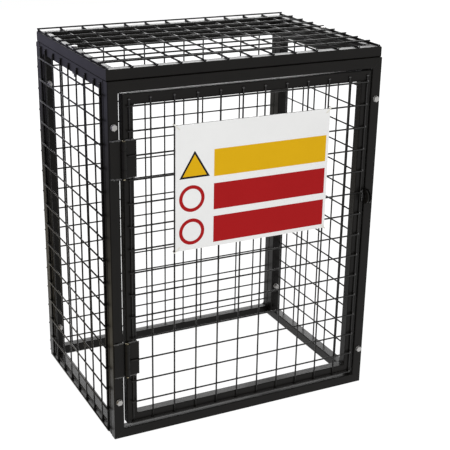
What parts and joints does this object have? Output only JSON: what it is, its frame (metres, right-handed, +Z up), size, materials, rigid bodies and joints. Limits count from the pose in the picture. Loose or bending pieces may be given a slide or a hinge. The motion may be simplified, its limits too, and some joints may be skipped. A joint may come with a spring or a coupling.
{
  "type": "gas cylinder cage",
  "caption": "Bolted cage of square steel tube frames and welded wire mesh on an open base, with one hinged mesh door, padlock eyes and a plain sign plate.",
  "frame": {"origin": "centre of the whole object's box at the floor", "axes": "+X across the front to the lock side, +Y from front to back, +Z up"},
  "size_m": [0.715, 0.5355, 0.9075],
  "materials": {
    "tube_frame": "semi-gloss black powder coat",
    "mesh_wire": "semi-gloss black powder coat",
    "zinc_bolt": "bright zinc plate",
    "hinge_pin": "bare steel",
    "hinge_leaf": "semi-gloss black powder coat",
    "padlock_eye": "semi-gloss black powder coat",
    "sign_plate": "smooth white plastic with plain printed colour bands"
  },
  "bodies": {
    "cage": {"front_frame_bottom_rail": "tube_frame", "front_frame_top_rail": "tube_frame", "front_frame_hinge_stile": "tube_frame", "front_frame_lock_stile": "tube_frame", "back_frame_bottom_rail": "tube_frame", "back_frame_top_rail": "tube_frame", "back_frame_left_stile": "tube_frame", "back_frame_right_stile": "tube_frame", "left_frame_bottom_rail": "tube_frame", "left_frame_top_rail": "tube_frame", "left_frame_front_stile": "tube_frame", "left_frame_back_stile": "tube_frame", "right_frame_bottom_rail": "tube_frame", "right_frame_top_rail": "tube_frame", "right_frame_front_stile": "tube_frame", "right_frame_back_stile": "tube_frame", "roof_frame_front_rail": "tube_frame", "roof_frame_back_rail": "tube_frame", "roof_frame_left_rail": "tube_frame", "roof_frame_right_rail": "tube_frame", "roof_mesh": "mesh_wire", "left_mesh": "mesh_wire", "right_mesh": "mesh_wire", "back_mesh": "mesh_wire", "front_bolts": "zinc_bolt", "back_bolts": "zinc_bolt", "roof_bolts": "zinc_bolt", "upper_frame_leaf": "hinge_leaf", "lower_frame_leaf": "hinge_leaf", "upper_hinge_pin": "hinge_pin", "lower_hinge_pin": "hinge_pin", "frame_padlock_eye": "padlock_eye"},
    "door": {"door_bottom_rail": "tube_frame", "door_top_rail": "tube_frame", "door_hinge_stile": "tube_frame", "door_lock_stile": "tube_frame", "door_mesh": "mesh_wire", "upper_door_leaf": "hinge_leaf", "lower_door_leaf": "hinge_leaf", "door_padlock_eye": "padlock_eye", "sign_plate": "sign_plate"}
  },
  "joints": [
    {"name": "door_hinge", "type": "hinge", "parent": "cage", "child": "door", "pos_m": [-0.317, -0.2457, 0.456], "axis": [0, 0, -1], "range_deg": [0, 145]}
  ]
}
